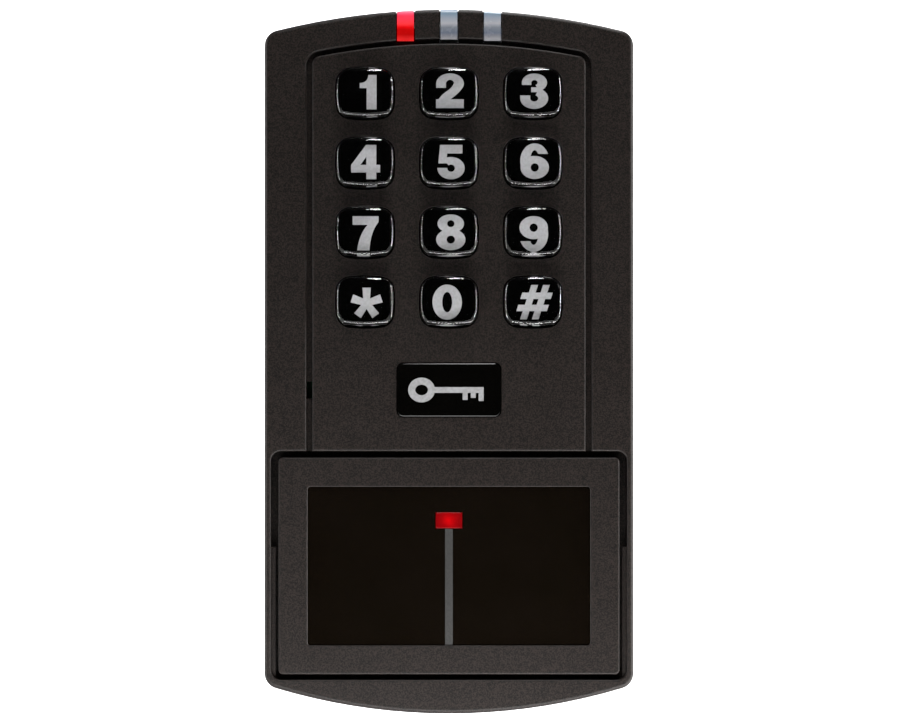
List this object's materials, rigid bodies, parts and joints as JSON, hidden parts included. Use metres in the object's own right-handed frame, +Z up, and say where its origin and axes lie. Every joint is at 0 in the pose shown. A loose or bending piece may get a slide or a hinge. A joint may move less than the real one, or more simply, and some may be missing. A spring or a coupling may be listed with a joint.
{
  "type": "keypad access reader",
  "caption": "Wall-mounted door entry reader: a keypad of clear domed keys over a card reader window, with status lights along the arched top edge.",
  "frame": {"origin": "centre of the wall plate's wall face, half way up the unit", "axes": "+Z up, +Y into the wall, so the keys face -Y, and +X to the right as seen from the front"},
  "size_m": [0.0702, 0.0413, 0.134],
  "materials": {
    "case_plastic": "fine moulded grain, charcoal",
    "plate_plastic": "moulded, dark grey",
    "key_clear": "clear polycarbonate, polished",
    "key_black": "black, polished, with silver print",
    "badge_gloss": "black, polished, with silver print",
    "window_gloss": "infrared-dark, polished",
    "stripe_grey": "satin grey",
    "lens_red": "diffusing, lit red",
    "lens_clear": "diffusing, unlit",
    "led_white": "moulded lens",
    "silicone": "matt silicone",
    "rubber_black": "matt rubber",
    "circuit_board": "green solder mask",
    "copper": "enamelled winding",
    "brass": "turned",
    "steel": "zinc plated",
    "header_black": "moulded",
    "header_white": "moulded",
    "chip_black": "moulded",
    "relay_blue": "moulded",
    "capacitor_can": "drawn can"
  },
  "bodies": {
    "wall_plate": {"wall_plate": "plate_plastic", "cable_grommet": "rubber_black", "foot_insert": "brass"},
    "front_unit": {"front_housing": "case_plastic", "keypad_fascia": "case_plastic", "badge_plate": "badge_gloss", "reader_cover": "case_plastic", "reader_window": "window_gloss", "reader_stripe": "stripe_grey", "reader_led_lens": "lens_red", "status_leds": "led_white", "keypad_mat": "silicone", "keypad_board": "circuit_board", "main_board": "circuit_board", "board_spacers": "brass", "board_screws": "steel", "board_link": "header_black", "wiring_header": "header_white", "data_header": "header_white", "microcontroller": "chip_black", "lock_relay": "relay_blue", "beeper": "chip_black", "capacitors": "capacitor_can", "crystal": "capacitor_can", "voltage_regulator": "chip_black", "antenna_board": "circuit_board", "antenna_coil": "copper", "reader_led": "led_white", "tamper_switch": "chip_black", "tamper_spring": "steel", "status_lens_left": "lens_red", "status_lens_centre": "lens_clear", "status_lens_right": "lens_clear"},
    "security_screw": {"security_screw": "steel"},
    "tamper_plunger": {"tamper_plunger": "header_white"},
    "key_1": {"keycap_1": "key_clear", "key_base_1": "key_black"},
    "key_2": {"keycap_2": "key_clear", "key_base_2": "key_black"},
    "key_3": {"keycap_3": "key_clear", "key_base_3": "key_black"},
    "key_4": {"keycap_4": "key_clear", "key_base_4": "key_black"},
    "key_5": {"keycap_5": "key_clear", "key_base_5": "key_black"},
    "key_6": {"keycap_6": "key_clear", "key_base_6": "key_black"},
    "key_7": {"keycap_7": "key_clear", "key_base_7": "key_black"},
    "key_8": {"keycap_8": "key_clear", "key_base_8": "key_black"},
    "key_9": {"keycap_9": "key_clear", "key_base_9": "key_black"},
    "key_star": {"keycap_star": "key_clear", "key_base_star": "key_black"},
    "key_0": {"keycap_0": "key_clear", "key_base_0": "key_black"},
    "key_hash": {"keycap_hash": "key_clear", "key_base_hash": "key_black"}
  },
  "joints": [
    {"name": "front_swing", "type": "hinge", "parent": "wall_plate", "child": "front_unit", "pos_m": [0, -0.005, 0.0618], "axis": [-1, 0, 0], "range_deg": [0, 13]},
    {"name": "security_screw_out", "type": "slide", "parent": "wall_plate", "child": "security_screw", "axis": [0, 0, -1], "range_m": [0, 0.009]},
    {"name": "tamper_plunger_out", "type": "slide", "parent": "front_unit", "child": "tamper_plunger", "axis": [0, 1, 0], "range_m": [0, 0.0015], "deforming": ["tamper_spring"]},
    {"name": "key_1_press", "type": "slide", "parent": "front_unit", "child": "key_1", "axis": [0, 1, 0], "range_m": [0, 0.0012], "stiffness_N_per_m": 500, "springref_m": -0.0006, "deforming": ["keypad_mat"]},
    {"name": "key_2_press", "type": "slide", "parent": "front_unit", "child": "key_2", "axis": [0, 1, 0], "range_m": [0, 0.0012], "stiffness_N_per_m": 500, "springref_m": -0.0006, "deforming": ["keypad_mat"]},
    {"name": "key_3_press", "type": "slide", "parent": "front_unit", "child": "key_3", "axis": [0, 1, 0], "range_m": [0, 0.0012], "stiffness_N_per_m": 500, "springref_m": -0.0006, "deforming": ["keypad_mat"]},
    {"name": "key_4_press", "type": "slide", "parent": "front_unit", "child": "key_4", "axis": [0, 1, 0], "range_m": [0, 0.0012], "stiffness_N_per_m": 500, "springref_m": -0.0006, "deforming": ["keypad_mat"]},
    {"name": "key_5_press", "type": "slide", "parent": "front_unit", "child": "key_5", "axis": [0, 1, 0], "range_m": [0, 0.0012], "stiffness_N_per_m": 500, "springref_m": -0.0006, "deforming": ["keypad_mat"]},
    {"name": "key_6_press", "type": "slide", "parent": "front_unit", "child": "key_6", "axis": [0, 1, 0], "range_m": [0, 0.0012], "stiffness_N_per_m": 500, "springref_m": -0.0006, "deforming": ["keypad_mat"]},
    {"name": "key_7_press", "type": "slide", "parent": "front_unit", "child": "key_7", "axis": [0, 1, 0], "range_m": [0, 0.0012], "stiffness_N_per_m": 500, "springref_m": -0.0006, "deforming": ["keypad_mat"]},
    {"name": "key_8_press", "type": "slide", "parent": "front_unit", "child": "key_8", "axis": [0, 1, 0], "range_m": [0, 0.0012], "stiffness_N_per_m": 500, "springref_m": -0.0006, "deforming": ["keypad_mat"]},
    {"name": "key_9_press", "type": "slide", "parent": "front_unit", "child": "key_9", "axis": [0, 1, 0], "range_m": [0, 0.0012], "stiffness_N_per_m": 500, "springref_m": -0.0006, "deforming": ["keypad_mat"]},
    {"name": "key_star_press", "type": "slide", "parent": "front_unit", "child": "key_star", "axis": [0, 1, 0], "range_m": [0, 0.0012], "stiffness_N_per_m": 500, "springref_m": -0.0006, "deforming": ["keypad_mat"]},
    {"name": "key_0_press", "type": "slide", "parent": "front_unit", "child": "key_0", "axis": [0, 1, 0], "range_m": [0, 0.0012], "stiffness_N_per_m": 500, "springref_m": -0.0006, "deforming": ["keypad_mat"]},
    {"name": "key_hash_press", "type": "slide", "parent": "front_unit", "child": "key_hash", "axis": [0, 1, 0], "range_m": [0, 0.0012], "stiffness_N_per_m": 500, "springref_m": -0.0006, "deforming": ["keypad_mat"]}
  ],
  "couplings": [
    {"joint": "tamper_plunger_out", "follows": "front_swing", "m_per_rad": 0.0066}
  ]
}
